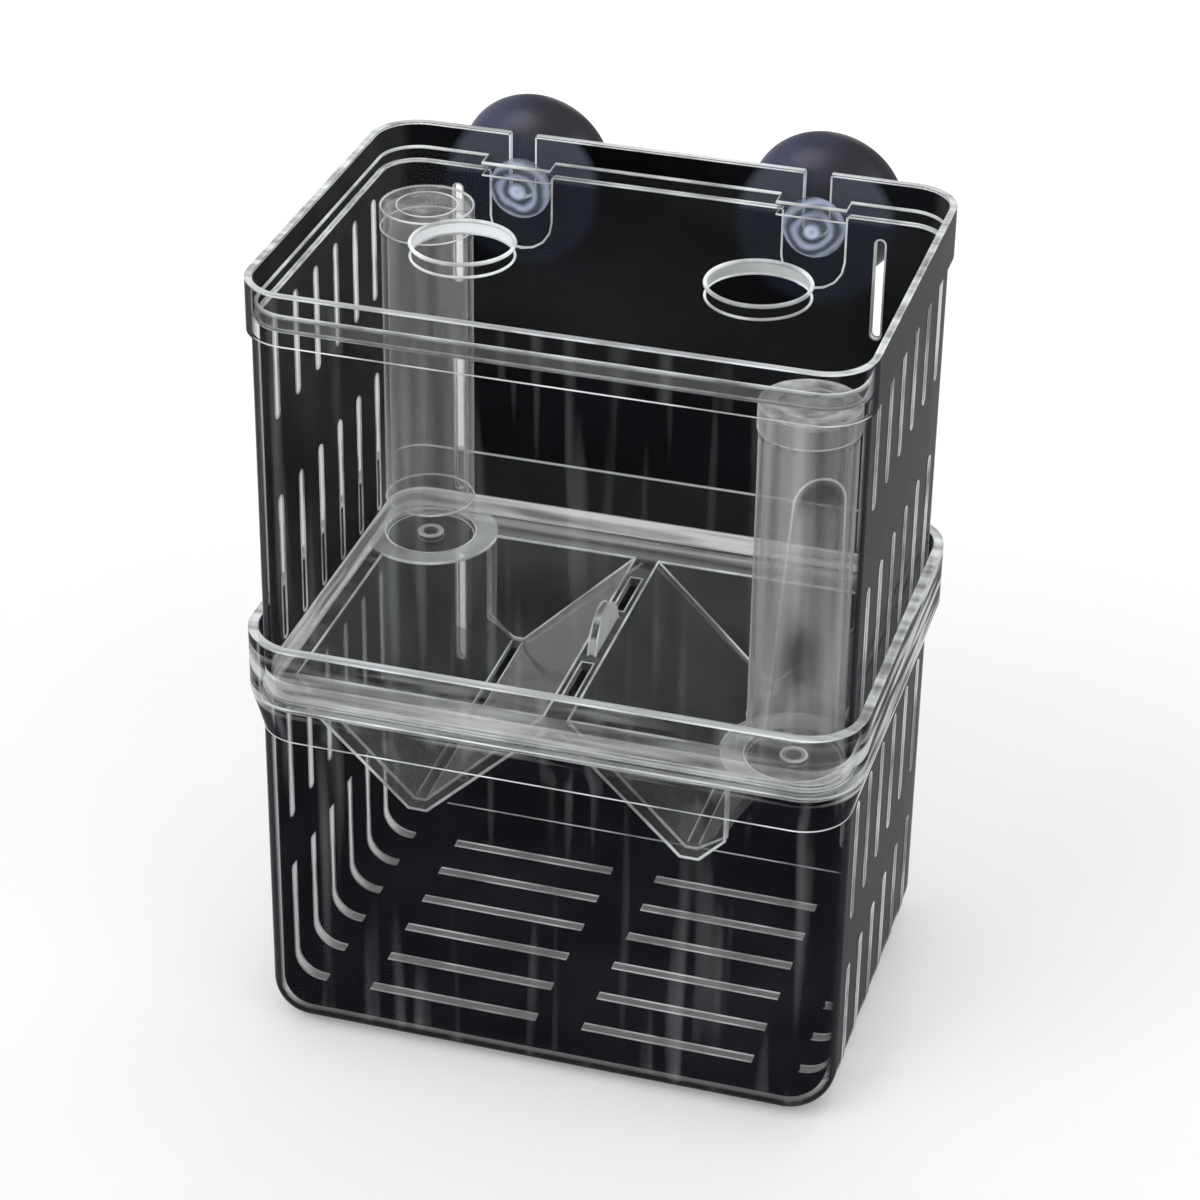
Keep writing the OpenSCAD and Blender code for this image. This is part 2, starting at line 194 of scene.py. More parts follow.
def wall_faces_group():
    """Tells a box's faces apart: outwards, inwards, and the cut edges between them.

    With q the part of |P| beyond the corner centres, the outward direction is q with P's signs, of length one; the
    masks are steps on the dot product of that direction and the normal. Below Floor height a face turned up counts
    as inwards and one turned down as outwards.
    """
    if "wall_faces" in bpy.data.node_groups:
        return bpy.data.node_groups["wall_faces"]
    tree, n, gin, gout = new_group(
        "wall_faces",
        [("Position", "NodeSocketVector", None), ("Normal", "NodeSocketVector", None),
         ("Corner", "NodeSocketVector", CORNER), ("Floor height", "NodeSocketFloat", 0.0)],
        [("Outwards", "NodeSocketFloat"), ("Inwards", "NodeSocketFloat"), ("Edge", "NodeSocketFloat")])
    place, normal = gin.outputs["Position"], gin.outputs["Normal"]
    beyond = n.vec("MAXIMUM", n.vec("SUBTRACT", n.vec("ABSOLUTE", place), gin.outputs["Corner"]), (0, 0, 0))
    flat = n.vec("MULTIPLY", beyond, (1, 1, 0))
    way = n.vec("MULTIPLY", n.vec("NORMALIZE", flat), n.vec("SIGN", place))
    facing = n.vec("DOT_PRODUCT", normal, way)
    z = n.add("ShaderNodeSeparateXYZ", {0: place}).outputs["Z"]
    up = n.add("ShaderNodeSeparateXYZ", {0: normal}).outputs["Z"]
    low = n.math("LESS_THAN", z, gin.outputs["Floor height"])
    turned = n.math("MULTIPLY", up, low)
    outwards = n.ramp(n.math("SUBTRACT", n.math("MAXIMUM", facing, 0.0), turned), 0.4, 0.6)
    inwards = n.ramp(n.math("ADD", n.math("MAXIMUM", n.math("MULTIPLY", facing, -1.0), 0.0), turned), 0.4, 0.6)
    edge = n.math("SUBTRACT", 1.0, n.math("ADD", outwards, inwards), clamp=True)
    for label, value in (("Outwards", outwards), ("Inwards", inwards), ("Edge", edge)):
        n.put(gout.inputs[label], value)
    return tree


def moulded_group():
    """Moulded plastic: slow cloudiness, flow lines along Z, streaks along X and hair scratches.

    Cloud is low-frequency noise, Flow and Streak are noise stretched along Z and X, and a scratch is the top of a
    noise stretched along Y. Height adds them with small weights for a Bump node, and Gloss is a roughness that the
    scratches raise.
    """
    if "moulded_plastic" in bpy.data.node_groups:
        return bpy.data.node_groups["moulded_plastic"]
    tree, n, gin, gout = new_group(
        "moulded_plastic",
        [("Position", "NodeSocketVector", None), ("Scale", "NodeSocketFloat", 40.0),
         ("Roughness", "NodeSocketFloat", 0.08), ("Scratches", "NodeSocketFloat", 0.2)],
        [("Cloud", "NodeSocketFloat"), ("Flow", "NodeSocketFloat"), ("Streak", "NodeSocketFloat"),
         ("Level", "NodeSocketFloat"), ("Gloss", "NodeSocketFloat"), ("Height", "NodeSocketFloat")])
    place = gin.outputs["Position"]
    cloud = n.add("ShaderNodeTexNoise", {"Vector": place, "Scale": gin.outputs["Scale"], "Detail": 3.0}).outputs[0]
    flow = n.add("ShaderNodeTexNoise", {
        "Vector": n.vec("MULTIPLY", place, (1.0, 1.0, 0.05)), "Scale": 260.0, "Detail": 1.0}).outputs[0]
    streak = n.add("ShaderNodeTexNoise", {
        "Vector": n.vec("MULTIPLY", place, (0.05, 1.0, 1.0)), "Scale": 320.0, "Detail": 1.0}).outputs[0]
    level = n.add("ShaderNodeTexNoise", {
        "Vector": n.vec("MULTIPLY", place, (0.09, 0.09, 1.0)), "Scale": 480.0, "Detail": 1.0}).outputs[0]
    hair = n.add("ShaderNodeTexNoise", {
        "Vector": n.vec("MULTIPLY", place, (1.0, 0.08, 0.7)), "Scale": 700.0, "Detail": 1.0}).outputs[0]
    scratch = n.math("MULTIPLY", n.ramp(hair, 0.66, 0.74), gin.outputs["Scratches"])
    gloss = n.math("ADD", gin.outputs["Roughness"], n.math("MULTIPLY", scratch, 0.35))
    gloss = n.math("ADD", gloss, n.math("MULTIPLY", n.math("SUBTRACT", cloud, 0.5), 0.08), clamp=True)
    height = n.math("ADD", n.math("MULTIPLY", flow, 0.5), n.math("MULTIPLY", cloud, 0.5))
    for label, value in (("Cloud", cloud), ("Flow", flow), ("Streak", streak), ("Level", level), ("Gloss", gloss),
                         ("Height", height)):
        n.put(gout.inputs[label], value)
    return tree


def start_material(name):
    """New material with its output, Principled shader, coordinates and front-side mask."""
    material = bpy.data.materials.new(name)
    material.use_nodes = True
    material.node_tree.nodes.clear()
    n = Nodes(material.node_tree)
    shader = n.add("ShaderNodeBsdfPrincipled")
    out = n.add("ShaderNodeOutputMaterial", {"Surface": shader.outputs[0]})
    coords = n.add("ShaderNodeTexCoord")
    return material, n, shader, coords


def front_side(n, alpha, shade=0.3):
    """Alpha that drops to nothing on faces seen from behind, so each wall shows one face only.

    Rays that carry light or shadow meet a share of it, because clear plastic lets most of the light in.
    """
    back = n.add("ShaderNodeNewGeometry").outputs["Backfacing"]
    seen = n.add("ShaderNodeLightPath").outputs["Is Camera Ray"]
    share = n.blend(seen, shade, 1.0)
    return n.math("MULTIPLY", n.math("MULTIPLY", alpha, share), n.math("SUBTRACT", 1.0, back), clamp=True)


def use_group(n, tree, **inputs):
    """Places a node group and fills its sockets; keys have _ for spaces."""
    node = n.add("ShaderNodeGroup", node_tree=tree)
    for key, value in inputs.items():
        n.put(node.inputs[key.replace("_", " ")], value)
    return node


def bump(n, shader, height, strength, distance=0.0002):
    """Feeds a height into the shader's normal through one Bump node."""
    node = n.add("ShaderNodeBump", {"Strength": strength, "Distance": distance, "Height": height})
    n.put(shader.inputs["Normal"], node.outputs[0])


def masked(n, *masks):
    """Product of several masks."""
    value = masks[0]
    for mask in masks[1:]:
        value = n.math("MULTIPLY", value, mask)
    return value


def split(n, vector):
    """The three outputs X, Y and Z of a vector."""
    return n.add("ShaderNodeSeparateXYZ", {0: vector}).outputs


def sleeve_marks(n, place, cloud, streak, dark, bright):
    """Painted light on the sleeve's inner walls: a painted glow along the foot, a painted highlight line where the
    lower rim's edge shows through the rear wall with a faint lighter band below it, side walls a touch lighter, and a
    faint lit disc painted where the cups' domes show through.

    The foot is z < 83.4 mm, the line lies at z = 93.6 mm, and the lit disc is round (|x|, z) = (30.5, 155.5) mm.
    """
    x, y, z = (split(n, place)[axis] for axis in "XYZ")
    rear = n.ramp(y, 0.036, 0.040)
    # painted light: a faint lit disc where the cups' domes show through the rear wall, lighter above z = 157.5 mm
    off = n.vec("SUBTRACT", n.add("ShaderNodeCombineXYZ", {0: n.math("ABSOLUTE", x), 2: z}).outputs[0],
                (0.0305, 0.0, 0.1555))
    disc = masked(n, rear, n.ramp(n.vec("LENGTH", off), 0.0168, 0.0150))
    above = n.ramp(z, 0.1575, 0.1590)
    haze_and_glow = n.mix(above, (0.011, 0.0125, 0.020, 1.0), (0.060, 0.068, 0.088, 1.0))
    colour = n.mix(disc, dark, haze_and_glow)
    # painted light: the side walls are a touch lighter, in the edge colour
    side = n.ramp(n.math("ABSOLUTE", x), 0.054, 0.056)
    colour = n.mix(n.math("MULTIPLY", side, n.blend(cloud, 0.012, 0.04)), colour, bright)
    # painted light: a faint lighter band below z = 93.6 mm and a painted highlight line there, where the lower rim's
    # bright edge shows through
    band = masked(n, rear, n.ramp(z, 0.0938, 0.0935))
    colour = n.mix(n.math("MULTIPLY", band, 0.02), colour, bright)
    line = masked(n, rear, n.ramp(n.math("ABSOLUTE", n.math("SUBTRACT", z, 0.0936)), 0.00034, 0.00016))
    colour = n.mix(n.math("MULTIPLY", line, 0.9), colour, bright)
    # painted glow along the sleeve's foot, brightest on its crest, in the edge colour
    foot = n.ramp(z, 0.0836, 0.0832)
    crest = n.ramp(z, 0.0822, 0.0830)
    frost_and_glow = n.mix(n.math("MAXIMUM", streak, crest), rgba(bright, 0.45), rgba(bright, 1.5))
    return n.mix(foot, colour, frost_and_glow), foot, frost_and_glow


def shell_material(name, floor_height, haze_and_glow, sleeve=False):
    """Clear box wall: hazy outside, painted dark inside, and bright on its cut edges with painted edge light."""
    look = bpy.context.scene.breeding_box_shell
    material, n, shader, coords = start_material(name)
    place, normal = coords.outputs["Object"], coords.outputs["Normal"]
    faces = use_group(n, wall_faces_group(), Position=place, Normal=normal, Floor_height=floor_height)
    skin = use_group(n, moulded_group(), Position=place, Scale=38.0, Roughness=0.07, Scratches=0.25)
    cloud = n.ramp(skin.outputs["Cloud"], 0.3, 0.7)
    # the inside is painted dark, darker in the lower box than in the sleeve
    depth = 1.0 if sleeve else 2.6
    painted_inside = n.mix(cloud, rgba(look.painted_dark, 0.6 * depth), rgba(look.painted_dark, 2.0 * depth))
    # painted light: cut faces turned up are painted bright in the edge colour, the sides of the slots painted dim
    top = n.ramp(n.add("ShaderNodeSeparateXYZ", {0: normal}).outputs["Z"], 0.8, 0.95)
    streak = n.ramp(skin.outputs["Streak"], 0.35, 0.65)
    edge = n.mix(top, rgba(look.edge, 0.1), n.mix(streak, rgba(look.edge, 0.45), rgba(look.edge, 1.15)))
    turned = n.add("ShaderNodeLayerWeight", {"Blend": 0.5}).outputs["Facing"]
    steep = n.math("POWER", turned, 1.25)
    square_on = n.math("POWER", n.math("SUBTRACT", 1.0, steep, clamp=True), 3.0)
    smear = n.math("MULTIPLY", n.ramp(skin.outputs["Flow"], 0.55, 0.78), square_on)
    # the outward faces are painted dark as well, but for pale smears seen square on
    veil = n.mix(smear, rgba(look.painted_dark, 4.0), rgba(look.veil))
    level = n.ramp(skin.outputs["Level"], 0.35, 0.65)
    if sleeve:
        # the sleeve's inside takes the painted marks of sleeve_marks; the painted foot glow also goes on its outward
        # faces
        painted_inside, foot, frost_and_glow = sleeve_marks(n, place, cloud, level, painted_inside, look.edge[:] + (1.0,))
        veil = n.mix(foot, veil, frost_and_glow)
        seat = masked(n, n.ramp(split(n, place)["X"], 0.0385, 0.0410), n.ramp(split(n, place)["Y"], 0.0, -0.01))
        foot = masked(n, foot, n.blend(level, 0.10, 0.38), n.ramp(seat, 0.0, 1.0, 1.0, 0.3))
    else:
        z = split(n, place)["Z"]
        # painted light: the outward faces of the rim band above z = 77 mm take the edge colour in patches
        band = masked(n, n.ramp(z, 0.0765, 0.0775), n.ramp(level, 0.3, 0.9))
        veil = n.mix(band, veil, rgba(look.edge, 0.8))
        # the bottom 9 mm and the band are more opaque, so their colour shows more there
        foot = n.math("ADD", n.ramp(z, 0.009, 0.001, 0.0, 0.45), n.math("MULTIPLY", band, 0.1))
    colour = n.mix(faces.outputs["Inwards"], veil, painted_inside)
    n.put(shader.inputs["Base Color"], n.mix(faces.outputs["Edge"], colour, edge))
    n.put(shader.inputs["Roughness"], skin.outputs["Gloss"])
    shader.inputs["IOR"].default_value = 1.06
    shader.inputs["Specular IOR Level"].default_value = 0.12
    dark = n.math("MAXIMUM", n.math("MULTIPLY", steep, 0.95), n.ramp(turned, 0.36, 0.6, 0.0, 0.97))
    clear = n.math("ADD", n.math("ADD", haze_and_glow, n.math("MULTIPLY", smear, 0.02)), dark)
    clear = n.math("ADD", clear, foot)
    alpha = n.blend(faces.outputs["Inwards"], clear, look.depth)
    alpha = n.blend(faces.outputs["Edge"], alpha, n.blend(top, 0.35, 0.8))
    low = n.math("LESS_THAN", split(n, place)["Z"], floor_height)
    n.put(shader.inputs["Alpha"], front_side(n, alpha, n.blend(low, 0.3, 0.8)))
    bump(n, shader, skin.outputs["Height"], 0.12)
    return material


def dress(node, material):
    """Puts a material on a CAD node's slots and rides nothing: the node already moves with its body."""
    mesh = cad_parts[node].data
    mesh.materials.clear()
    mesh.materials.append(material)


class BREEDING_OT_boxes(bpy.types.Operator):
    """Give the lower box and the upper sleeve their clear moulded plastic"""
    bl_idname = "breeding_box.boxes"
    bl_label = "Boxes"

    def execute(self, context):
        look = context.scene.breeding_box_shell
        dress("lower_box", shell_material("clear lower box", 0.014, look.clear))
        dress("upper_box", shell_material("clear upper sleeve", -1.0, look.clear, sleeve=True))
        return {"FINISHED"}


class BREEDING_OT_tray(bpy.types.Operator):
    """Give the V tray its hazier plastic with bright edges"""
    bl_idname = "breeding_box.tray"
    bl_label = "Tray"

    def execute(self, context):
        look = context.scene.breeding_box_shell
        material, n, shader, coords = start_material("clear tray")
        place, normal = coords.outputs["Object"], coords.outputs["Normal"]
        skin = use_group(n, moulded_group(), Position=place, Scale=55.0, Roughness=0.12, Scratches=0.4)
        up = n.add("ShaderNodeSeparateXYZ", {0: normal}).outputs["Z"]
        size = n.math("ABSOLUTE", up)
        slope = n.math("MULTIPLY", n.ramp(size, 0.5, 0.6), n.math("SUBTRACT", 1.0, n.ramp(size, 0.8, 0.9)))
        level = n.ramp(size, 0.9, 0.97)
        cloud = n.ramp(skin.outputs["Cloud"], 0.3, 0.7)
        # painted light: the tray's cut faces take the edge colour, dimly
        side = n.mix(cloud, rgba(look.edge, 0.06), rgba(look.edge, 0.22))
        # the flat faces of the flange are dim at the rear and brighter at the front; the pads are pale round a seat
        # painted dark as shade at the foot of each float tube, with a pale nipple
        y = split(n, place)["Y"]
        rear, front = n.ramp(y, 0.0320, 0.0326), n.ramp(y, -0.0320, -0.0326)
        streak = n.ramp(skin.outputs["Streak"], 0.35, 0.65)
        flat = n.mix(streak, rgba(look.edge, 0.10), rgba(look.edge, 0.34))
        flat = n.mix(rear, flat, n.mix(streak, rgba(look.edge, 0.13), rgba(look.edge, 0.48)))
        flat = n.mix(front, flat, n.mix(streak, rgba(look.edge, 0.24), rgba(look.edge, 0.85)))
        axis = (TUBE[0] * MM, TUBE[1] * MM, 0.0)
        level_place = n.vec("MULTIPLY", place, (1, 1, 0))
        far = n.math("MINIMUM", n.vec("LENGTH", n.vec("SUBTRACT", level_place, axis)),
                     n.vec("LENGTH", n.vec("ADD", level_place, axis)))
        pad = n.ramp(far, 0.0143, 0.0141)
        seat = masked(n, n.ramp(far, 0.0097, 0.0094), n.ramp(far, 0.0027, 0.0029))
        flat = n.mix(pad, flat, n.mix(cloud, rgba(look.edge, 0.35), rgba(look.edge, 1.0)))
        flat = n.mix(seat, flat, n.mix(cloud, rgba(look.edge, 0.01), rgba(look.edge, 0.05)))
        slant = n.mix(cloud, rgba(look.tray, 0.28), rgba(look.tray, 0.70))
        # the lift tab stands above the flange and is painted pale in the edge colour
        x, z = n.math("ABSOLUTE", split(n, place)["X"]), split(n, place)["Z"]
        tab = masked(n, n.ramp(x, 0.0014, 0.0012), n.ramp(z, 0.0791, 0.0793))
        side = n.mix(tab, side, n.mix(cloud, rgba(look.edge, 0.45), rgba(look.edge, 1.2)))
        colour = n.mix(level, side, flat)
        colour = n.mix(slope, colour, slant)
        n.put(shader.inputs["Base Color"], colour)
        n.put(shader.inputs["Roughness"], skin.outputs["Gloss"])
        shader.inputs["IOR"].default_value = 1.25
        steep = n.math("POWER", n.add("ShaderNodeLayerWeight", {"Blend": 0.5}).outputs["Facing"], 2.0)
        top = n.blend(pad, n.blend(front, n.blend(rear, 0.45, 0.68), 0.58), n.blend(seat, 0.7, 0.95))
        alpha = n.blend(level, n.blend(tab, 0.55, 0.8), top)
        alpha = n.blend(slope, alpha, 0.72)
        alpha = n.math("ADD", alpha, n.math("MULTIPLY", steep, 0.25))
        n.put(shader.inputs["Alpha"], front_side(n, alpha))
        bump(n, shader, skin.outputs["Height"], 0.15)
        dress("v_tray", material)
        return {"FINISHED"}


class BREEDING_OT_lid(bpy.types.Operator):
    """Give the lid its clear sheet with bright cut edges"""
    bl_idname = "breeding_box.lid"
    bl_label = "Lid"

    def execute(self, context):
        look = context.scene.breeding_box_shell
        material, n, shader, coords = start_material("clear lid")
        place, normal = coords.outputs["Object"], coords.outputs["Normal"]
        skin = use_group(n, moulded_group(), Position=place, Scale=30.0, Roughness=0.05, Scratches=0.5)
        up = n.math("ABSOLUTE", n.add("ShaderNodeSeparateXYZ", {0: normal}).outputs["Z"])
        level = n.ramp(up, 0.4, 0.6)
        across = n.vec("ABSOLUTE", place)
        hole = n.math("LESS_THAN", n.add("ShaderNodeSeparateXYZ", {0: across}).outputs["Y"], 0.0125)
        hole = n.math("MULTIPLY", hole, n.math("LESS_THAN", n.add("ShaderNodeSeparateXYZ", {0: across}).outputs["X"], 0.045))
        # painted light: the cut faces take the edge colour, bright in the finger holes and dim round the outside
        bright = n.mix(n.ramp(skin.outputs["Cloud"], 0.35, 0.6), rgba(look.edge, 0.7), rgba(look.edge, 1.45))
        dim = n.mix(n.ramp(skin.outputs["Streak"], 0.35, 0.65), rgba(look.edge, 0.12), rgba(look.edge, 0.5))
        front = n.ramp(split(n, place)["Y"], -0.037, -0.040)
        dim = n.mix(front, dim, n.mix(skin.outputs["Cloud"], rgba(look.edge, 0.08), rgba(look.edge, 0.4)))
        side = n.mix(hole, dim, bright)
        n.put(shader.inputs["Base Color"], n.mix(level, side, rgba(look.veil, 0.8)))
        n.put(shader.inputs["Roughness"], skin.outputs["Gloss"])
        shader.inputs["IOR"].default_value = 1.1
        steep = n.math("POWER", n.add("ShaderNodeLayerWeight", {"Blend": 0.5}).outputs["Facing"], 3.0)
        smear = n.math("MULTIPLY", n.ramp(skin.outputs["Cloud"], 0.5, 0.75), 0.01)
        face = n.math("ADD", n.math("ADD", 0.002, smear), n.math("MULTIPLY", steep, 0.04))
        n.put(shader.inputs["Alpha"], front_side(n, n.blend(level, n.blend(hole, n.blend(front, 0.5, 0.6), 0.9), face)))
        bump(n, shader, skin.outputs["Height"], 0.08)
        dress("lid", material)
        return {"FINISHED"}


class BREEDING_OT_floats(bpy.types.Operator):
    """Give the float tubes and caps their frosted plastic"""
    bl_idname = "breeding_box.floats"
    bl_label = "Floats"

    def execute(self, context):
        look = context.scene.breeding_box_float
        material, n, shader, coords = start_material("frosted float")
        place = coords.outputs["Object"]
        skin = use_group(n, moulded_group(), Position=place, Scale=60.0, Roughness=0.22, Scratches=0.3)
        flow = n.ramp(skin.outputs["Flow"], 0.3, 0.7)
        dark, line = self.bore(n, place)
        colour = n.mix(flow, rgba(look.frost_and_glow, 0.6), rgba(look.frost_and_glow, 1.5))
        # painted shade inside the bore and a painted highlight along its arched outline
        colour = n.mix(n.math("MULTIPLY", dark, 0.9), colour, rgba(look.frost_and_glow, 0.08))
        n.put(shader.inputs["Base Color"], n.mix(line, colour, rgba(look.frost_and_glow, 2.4)))
        n.put(shader.inputs["Roughness"], skin.outputs["Gloss"])
        shader.inputs["IOR"].default_value = 1.2
        rim = n.math("POWER", n.add("ShaderNodeLayerWeight", {"Blend": 0.5}).outputs["Facing"], 2.0)
        z = split(n, place)["Z"]
        foot = n.ramp(z, 0.125, 0.090, 0.0, 0.14)
        alpha = n.math("ADD", n.math("ADD", n.blend(flow, 0.26, 0.50), foot), n.math("MULTIPLY", rim, 0.85))
        alpha = n.math("ADD", alpha, n.math("MULTIPLY", n.math("MAXIMUM", dark, line), 0.3))
        rear = n.ramp(split(n, place)["Y"], 0.0, 0.01, 1.0, 0.52)
        alpha = n.math("MULTIPLY", alpha, rear)
        n.put(shader.inputs["Alpha"], front_side(n, n.math("MULTIPLY", alpha, n.ramp(z, 0.0864, 0.0884, 0.4, 1.0))))
        bump(n, shader, skin.outputs["Height"], 0.2)
        for node in ("float_tube_rear", "float_tube_front", "float_cap_rear", "float_cap_front"):
            dress(node, material)
        return {"FINISHED"}

    def bore(self, n, place):
        """Masks of painted light on the front tube's front side, where its bore shows through: painted shade for the
        inside and a painted highlight for the arched outline.

        With a the distance across the view from the tube's axis and z the height, the outline is the curve where
        (|a - c| / h)^2 + (max(0, z - 138 mm) / 6 mm)^2 = 1; its middle c and half width h change with the height.
        """
        off = n.vec("SUBTRACT", place, (TUBE[0] * MM, TUBE[1] * MM, 0.0))
        across = n.vec("DOT_PRODUCT", off, (0.961, 0.276, 0.0))
        near = n.ramp(n.vec("DOT_PRODUCT", off, (0.276, -0.961, 0.0)), 0.0, 0.002)
        z = split(n, place)["Z"]
        near = masked(n, near, n.ramp(z, 0.0884, 0.0894), n.ramp(split(n, place)["Y"], 0.0, -0.01))
        aside = n.math("SUBTRACT", across, n.ramp(z, 0.088, 0.141, 0.0005, 0.0020))
        u = n.math("DIVIDE", n.math("ABSOLUTE", aside), n.ramp(z, 0.088, 0.141, 0.0070, 0.0048))
        v = n.ramp(z, 0.138, 0.150, 0.0, 2.0)
        out = n.vec("LENGTH", n.add("ShaderNodeCombineXYZ", {0: u, 1: v}).outputs[0])
        inside = masked(n, near, n.ramp(out, 1.0, 0.75))
        patch = n.vec("LENGTH", n.add("ShaderNodeCombineXYZ", {
            0: n.math("DIVIDE", across, 0.0060), 1: n.math("DIVIDE", n.math("SUBTRACT", z, 0.1060), 0.0145)}).outputs[0])
        middle = n.ramp(n.math("ABSOLUTE", aside), 0.0045, 0.0, 0.0, 0.6)
        dark = n.math("MAXIMUM", n.math("MAXIMUM", n.ramp(z, 0.133, 0.140), middle), n.ramp(patch, 1.0, 0.3))
        line = masked(n, near, n.ramp(n.math("ABSOLUTE", n.math("SUBTRACT", out, 0.97)), 0.06, 0.02),
                      n.ramp(z, 0.120, 0.138, 0.15, 0.8))
        return n.math("MULTIPLY", inside, dark), line


# ---------------------------------------------------------------- edge light: beads with painted highlights

MM = 0.001
CX, CY = 50.0, 33.5
TOP, FLANGE = 167.0, 79.0
CUP_X = 30.5
TUBE = (47.1, -30.6)
UP, ALONG, ACROSS = (0, 0, 1), (0, 1, 0), (1, 0, 0)


def path3(xy, z):
    """Flat points lifted to one height."""
    xy = np.asarray(xy, float)
    return np.column_stack([xy, np.full(len(xy), float(z))])


def rounded(r, z, n=11):
    """Closed rounded rectangle: the four corner centres plus r (cos t, sin t) over a quarter turn each."""
    t = (np.arange(4)[:, None] + np.linspace(0, 1, n)) * math.pi / 2
    middle = t[:, [n // 2]]
    centre = np.stack([np.sign(np.cos(middle)) * CX, np.sign(np.sin(middle)) * CY], -1)
    return path3((centre + r * np.stack([np.cos(t), np.sin(t)], -1)).reshape(-1, 2), z)


def parted(r, z, half):
    """The same line cut open at the back, half a width either side of each suction cup.

    One run goes from the right cup round the front to the left cup, in order of the angle atan2(x, y), and a short
    one lies between the cups.
    """
    line = rounded(r, z)
    line = line[np.argsort(np.arctan2(line[:, 0], line[:, 1]) % (2 * math.pi))]
    back = CY + r
    ends = path3([(CUP_X + half, back), (-CUP_X - half, back)], z)
    return [np.vstack([ends[:1], line, ends[1:]]), path3([(CUP_X - half, back), (half - CUP_X, back)], z)]


def ring(x, y, z, r, n=56):
    """Closed level circle of radius r round (x, y)."""
    t = np.linspace(0, 2 * math.pi, n, endpoint=False)
    return path3(np.stack([x + r * np.cos(t), y + r * np.sin(t)], -1), z)


def slots(centres, u, v, half, w, n=7):
    """Closed slot outlines: half circles of radius w about the points half - w either way along u."""
    t = np.concatenate([np.linspace(-math.pi / 2, math.pi / 2, n), np.linspace(math.pi / 2, 1.5 * math.pi, n)])
    along = np.repeat([half - w, w - half], n) + w * np.cos(t)
    shape = along[:, None] * np.array(u, float) + (w * np.sin(t))[:, None] * np.array(v, float)
    return np.asarray(centres, float)[:, None, :] + shape


def beads(lines, normal, r, closed):
    """Vertices and faces of round beads along lines of equal length that lie across one normal.

    At each point the circle r (S cos a + N sin a) stands square to the line: N is the normal and S the cross product
    of N and the line's direction, which is the difference of its two neighbours.
    """
    lines = np.asarray(lines, float)
    if lines.ndim == 2:
        lines = lines[None]
    m, n, _ = lines.shape
    way = np.roll(lines, -1, 1) - np.roll(lines, 1, 1) if closed else np.gradient(lines, axis=1)
    way /= np.linalg.norm(way, axis=2, keepdims=True) + 1e-12
    up = np.broadcast_to(np.array(normal, float), lines.shape)
    side = np.cross(up, way)
    side /= np.linalg.norm(side, axis=2, keepdims=True) + 1e-12
    k = 6
    a = np.linspace(0, 2 * math.pi, k, endpoint=False)[:, None]
    points = lines[:, :, None] + r * (np.cos(a) * side[:, :, None] + np.sin(a) * up[:, :, None])
    base = (np.arange(m) * n * k)[:, None, None]
    i, j = np.arange(n if closed else n - 1)[None, :, None], np.arange(k)[None, None, :]
    here, there, after = i * k, (i + 1) % n * k, (j + 1) % k
    quads = np.stack(np.broadcast_arrays(base + here + j, base + there + j, base + there + after,
                                         base + here + after), -1).reshape(-1, 4)
    return points.reshape(-1, 3), quads


def bead_piece(name, body, material, runs):
    """One object from many runs of (lines, normal, radius, closed), all given in millimetres."""
    points, quads, count = [], [], 0
    for lines, normal, r, closed in runs:
        p, q = beads(lines, normal, r, closed)
        points.append(p)
        quads.append(q + count)
        count += len(p)
    mesh = bpy.data.meshes.new(name)
    mesh.from_pydata((np.vstack(points) * MM).tolist(), [], np.vstack(quads).tolist())
    mesh.polygons.foreach_set("use_smooth", np.ones(len(mesh.polygons), bool))
    mesh.materials.append(material)
    mesh.update()
    piece = bpy.data.objects.new(name, mesh)
    bpy.context.scene.collection.objects.link(piece)
    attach(piece, body)
    return piece


def edge_highlight_material(name, colour, low, high):
    """Painted edge highlight whose brightness wanders along its length."""
    material, n, shader, coords = start_material(name)
    skin = use_group(n, moulded_group(), Position=coords.outputs["Object"], Scale=75.0, Roughness=0.25, Scratches=0.2)
    wander = n.ramp(skin.outputs["Cloud"], 0.38, 0.62)
    n.put(shader.inputs["Base Color"], n.mix(wander, rgba(colour, low), rgba(colour, high)))
    n.put(shader.inputs["Roughness"], skin.outputs["Gloss"])
    shader.inputs["IOR"].default_value = 1.4
    return material


def row_y():
    """The six rows of slots along Y."""
    return (np.arange(6) - 2.5) * 11.0


def both_sides(x, z):
    """Centres on both side walls for every row, at x and height z."""
    return np.array([(s * x, y, z) for s in (-1, 1) for y in row_y()])


def u_line(x, y, top, low, half, n=9):
    """Open U in an upright plane: down from top, round a half circle centred at height low, and up again."""
    t = np.linspace(0, -math.pi, n)
    foot = np.column_stack([x + half * np.cos(t), np.full(n, y), low + half * np.sin(t)])
    return np.vstack([[(x + half, y, top)], foot, [(x - half, y, top)]])


